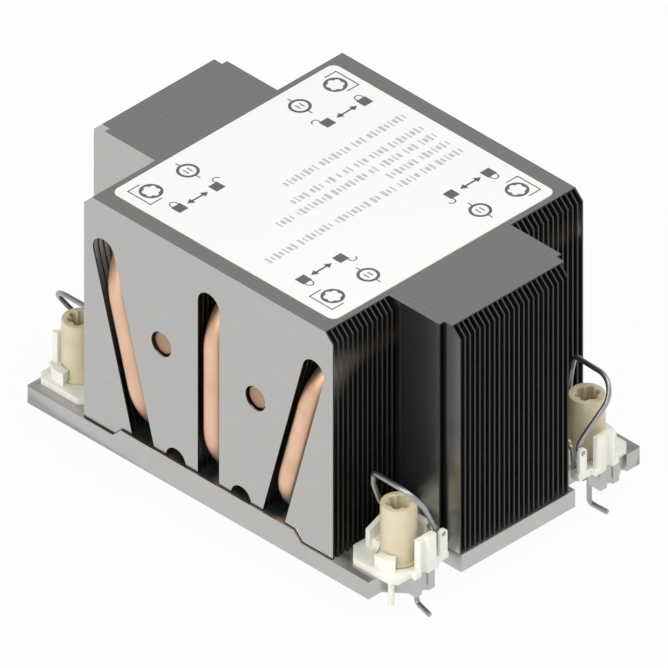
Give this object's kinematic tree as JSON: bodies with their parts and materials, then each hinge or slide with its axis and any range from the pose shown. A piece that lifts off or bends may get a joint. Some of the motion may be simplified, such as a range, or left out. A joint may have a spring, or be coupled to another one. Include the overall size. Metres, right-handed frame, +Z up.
{
  "type": "passive server processor heatsink",
  "caption": "Passive server processor heatsink: aluminium fin stack on a base plate with copper heat pipes, captive corner nuts and swinging anti-tilt wires.",
  "frame": {"origin": "centre of the flat contact face under the base plate, which presses on the processor", "axes": "+Z up, away from the processor; +X along the fins, the way the air goes; +Y across the fins, from the face with three tall pipes to the face with two low ones"},
  "size_m": [0.1138, 0.078, 0.071],
  "materials": {
    "base_aluminium": "milled, satin",
    "fin_aluminium": "rolled sheet, satin",
    "copper": "bare copper, satin",
    "label_film": "white printed film",
    "nut_plastic": "beige engineering plastic",
    "retainer_plastic": "ivory moulded plastic",
    "wire_steel": "plated spring wire"
  },
  "bodies": {
    "heatsink": {"base_plate": "base_aluminium", "front_slotted_fins": "fin_aluminium", "heat_pipe_left": "copper", "heat_pipe_middle": "copper", "heat_pipe_right": "copper", "long_fin_15": "fin_aluminium", "long_fin_16": "fin_aluminium", "long_fin_17": "fin_aluminium", "long_fin_18": "fin_aluminium", "long_fin_19": "fin_aluminium", "long_fin_20": "fin_aluminium", "long_fin_21": "fin_aluminium", "long_fin_22": "fin_aluminium", "long_fin_23": "fin_aluminium", "long_fin_24": "fin_aluminium", "long_fin_25": "fin_aluminium", "long_fin_26": "fin_aluminium", "long_fin_27": "fin_aluminium", "long_fin_28": "fin_aluminium", "long_fin_29": "fin_aluminium", "long_fin_30": "fin_aluminium", "long_fin_31": "fin_aluminium", "long_fin_32": "fin_aluminium", "long_fin_33": "fin_aluminium", "long_fin_34": "fin_aluminium", "long_fin_35": "fin_aluminium", "long_fin_36": "fin_aluminium", "long_fin_37": "fin_aluminium", "low_heat_pipe_left": "copper", "low_heat_pipe_right": "copper", "rear_slotted_fins": "fin_aluminium", "retainer_left_front": "retainer_plastic", "retainer_left_rear": "retainer_plastic", "retainer_right_front": "retainer_plastic", "retainer_right_rear": "retainer_plastic", "short_fin_14": "fin_aluminium", "short_fin_38": "fin_aluminium", "side_fin_12": "fin_aluminium", "side_fin_13": "fin_aluminium", "side_fin_39": "fin_aluminium", "side_fin_40": "fin_aluminium", "side_fin_41": "fin_aluminium", "side_fin_42": "fin_aluminium", "side_fin_43": "fin_aluminium", "top_label": "label_film"},
    "nut_right_rear": {"nut_right_rear": "nut_plastic"},
    "anti_tilt_wire_right_rear": {"anti_tilt_wire_right_rear": "wire_steel"},
    "nut_right_front": {"nut_right_front": "nut_plastic"},
    "anti_tilt_wire_right_front": {"anti_tilt_wire_right_front": "wire_steel"},
    "nut_left_rear": {"nut_left_rear": "nut_plastic"},
    "anti_tilt_wire_left_rear": {"anti_tilt_wire_left_rear": "wire_steel"},
    "nut_left_front": {"nut_left_front": "nut_plastic"},
    "anti_tilt_wire_left_front": {"anti_tilt_wire_left_front": "wire_steel"}
  },
  "joints": [
    {"name": "nut_turn_right_rear", "type": "hinge", "parent": "heatsink", "child": "nut_right_rear", "pos_m": [0.0489, 0.0289, 0.0131], "axis": [0, 0, 1], "continuous": true},
    {"name": "wire_swing_right_rear", "type": "hinge", "parent": "heatsink", "child": "anti_tilt_wire_right_rear", "pos_m": [0.0489, 0.0214, 0.0115], "axis": [1, 0, 0], "range_deg": [0, 15]},
    {"name": "nut_turn_right_front", "type": "hinge", "parent": "heatsink", "child": "nut_right_front", "pos_m": [0.0489, -0.0289, 0.0131], "axis": [0, 0, 1], "continuous": true},
    {"name": "wire_swing_right_front", "type": "hinge", "parent": "heatsink", "child": "anti_tilt_wire_right_front", "pos_m": [0.0489, -0.0214, 0.0115], "axis": [-1, 0, 0], "range_deg": [0, 15]},
    {"name": "nut_turn_left_rear", "type": "hinge", "parent": "heatsink", "child": "nut_left_rear", "pos_m": [-0.0489, 0.0289, 0.0131], "axis": [0, 0, 1], "continuous": true},
    {"name": "wire_swing_left_rear", "type": "hinge", "parent": "heatsink", "child": "anti_tilt_wire_left_rear", "pos_m": [-0.0489, 0.0214, 0.0115], "axis": [1, 0, 0], "range_deg": [0, 15]},
    {"name": "nut_turn_left_front", "type": "hinge", "parent": "heatsink", "child": "nut_left_front", "pos_m": [-0.0489, -0.0289, 0.0131], "axis": [0, 0, 1], "continuous": true},
    {"name": "wire_swing_left_front", "type": "hinge", "parent": "heatsink", "child": "anti_tilt_wire_left_front", "pos_m": [-0.0489, -0.0214, 0.0115], "axis": [-1, 0, 0], "range_deg": [0, 15]}
  ]
}
